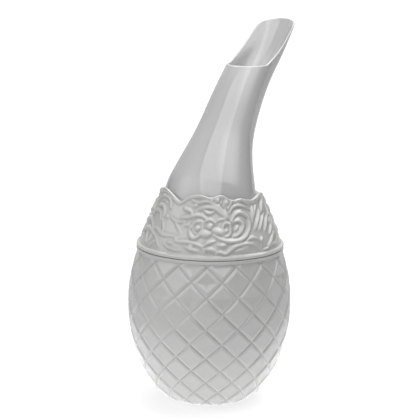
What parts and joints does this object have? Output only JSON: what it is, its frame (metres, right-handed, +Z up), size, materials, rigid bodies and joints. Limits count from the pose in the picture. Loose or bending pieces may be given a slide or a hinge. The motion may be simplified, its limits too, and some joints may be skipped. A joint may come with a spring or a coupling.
{
  "type": "ear rinse vessel",
  "caption": "Hand-held ceramic ear-rinse vessel: quilted egg reservoir, embossed screw collar and a bent swivelling neck ending in an open scoop.",
  "frame": {"origin": "on the standing plane, under the reservoir's axis", "axes": "+Z up along the reservoir's axis, +X the way the neck leans, symmetric about the XZ plane"},
  "size_m": [0.097, 0.0684, 0.1574],
  "materials": {
    "glazed_body": "glossy white glaze",
    "glazed_collar": "glossy white glaze over relief",
    "glazed_neck": "glossy white glaze",
    "moulded_white": "moulded, satin",
    "soft_seal": "silicone, matte",
    "slip_ring": "waxy",
    "snap_ring": "moulded",
    "soft_foot": "silicone, matte"
  },
  "bodies": {
    "reservoir": {"reservoir_shell": "glazed_body", "foot_pad": "soft_foot", "neck_sleeve": "moulded_white"},
    "seal_carrier": {"mouth_gasket": "soft_seal", "slip_washer": "slip_ring"},
    "collar": {"collar_shell": "glazed_collar", "collar_insert": "moulded_white"},
    "spout": {"spout_shell": "glazed_neck", "spout_tail": "moulded_white", "retaining_ring": "snap_ring"}
  },
  "joints": [
    {"name": "head_lift", "type": "slide", "parent": "reservoir", "child": "seal_carrier", "axis": [0, 0, 1], "range_m": [0, 0.0038]},
    {"name": "collar_turn", "type": "hinge", "parent": "seal_carrier", "child": "collar", "pos_m": [0, 0, 0.0662], "axis": [0, 0, 1], "range_deg": [0, 450]},
    {"name": "neck_swivel", "type": "hinge", "parent": "seal_carrier", "child": "spout", "pos_m": [0, 0, 0.0776], "axis": [0, 0, 1], "continuous": true}
  ],
  "couplings": [
    {"joint": "head_lift", "follows": "collar_turn", "m_per_rad": 0.00047746}
  ]
}
